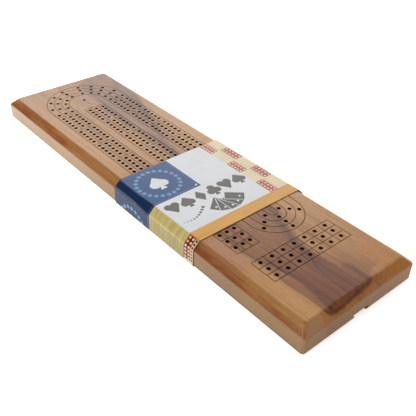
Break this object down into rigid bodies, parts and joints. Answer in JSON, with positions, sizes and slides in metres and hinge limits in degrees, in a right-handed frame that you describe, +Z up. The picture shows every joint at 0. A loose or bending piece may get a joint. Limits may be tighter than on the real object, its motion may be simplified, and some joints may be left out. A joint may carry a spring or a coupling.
{
  "type": "cribbage board",
  "caption": "Long chamfered wooden cribbage board with drilled peg tracks, a sliding lid over its underside peg store, metal pegs and a card band.",
  "frame": {"origin": "centre of the underside of the whole object's box, under the card band", "axes": "+X along the board to its start and games-grid end, +Y across it, +Z up out of the playing face"},
  "size_m": [0.3684, 0.1062, 0.0201],
  "materials": {
    "board_wood": "satin clear lacquer over brown hardwood with darker heartwood streaks",
    "lid_wood": "satin clear lacquer",
    "band_card": "printed and gloss varnished",
    "peg_brass": "polished turned metal",
    "peg_nickel": "nickel plated, polished",
    "peg_copper": "copper plated, polished"
  },
  "bodies": {
    "board": {"board": "board_wood"},
    "storage_lid": {"storage_lid": "lid_wood"},
    "card_sleeve": {"card_sleeve": "band_card"},
    "peg_brass_1": {"peg_brass_1": "peg_brass"},
    "peg_brass_2": {"peg_brass_2": "peg_brass"},
    "peg_brass_3": {"peg_brass_3": "peg_brass"},
    "peg_nickel_1": {"peg_nickel_1": "peg_nickel"},
    "peg_nickel_2": {"peg_nickel_2": "peg_nickel"},
    "peg_nickel_3": {"peg_nickel_3": "peg_nickel"},
    "peg_copper_1": {"peg_copper_1": "peg_copper"},
    "peg_copper_2": {"peg_copper_2": "peg_copper"},
    "peg_copper_3": {"peg_copper_3": "peg_copper"}
  },
  "joints": [
    {"name": "lid_slide", "type": "slide", "parent": "board", "child": "storage_lid", "axis": [1, 0, 0], "range_m": [0, 0.184]},
    {"name": "sleeve_slide", "type": "slide", "parent": "board", "child": "card_sleeve", "axis": [1, 0, 0], "range_m": [-0.274, 0.196]},
    {"name": "peg_brass_1_slide", "type": "slide", "parent": "board", "child": "peg_brass_1", "axis": [1, 0, 0], "range_m": [0, 0.002]},
    {"name": "peg_brass_2_slide", "type": "slide", "parent": "board", "child": "peg_brass_2", "axis": [1, 0, 0], "range_m": [0, 0.002]},
    {"name": "peg_brass_3_slide", "type": "slide", "parent": "board", "child": "peg_brass_3", "axis": [1, 0, 0], "range_m": [0, 0.002]},
    {"name": "peg_nickel_1_slide", "type": "slide", "parent": "board", "child": "peg_nickel_1", "axis": [1, 0, 0], "range_m": [0, 0.002]},
    {"name": "peg_nickel_2_slide", "type": "slide", "parent": "board", "child": "peg_nickel_2", "axis": [1, 0, 0], "range_m": [0, 0.002]},
    {"name": "peg_nickel_3_slide", "type": "slide", "parent": "board", "child": "peg_nickel_3", "axis": [1, 0, 0], "range_m": [0, 0.002]},
    {"name": "peg_copper_1_slide", "type": "slide", "parent": "board", "child": "peg_copper_1", "axis": [1, 0, 0], "range_m": [0, 0.002]},
    {"name": "peg_copper_2_slide", "type": "slide", "parent": "board", "child": "peg_copper_2", "axis": [1, 0, 0], "range_m": [0, 0.002]},
    {"name": "peg_copper_3_slide", "type": "slide", "parent": "board", "child": "peg_copper_3", "axis": [1, 0, 0], "range_m": [0, 0.002]}
  ]
}
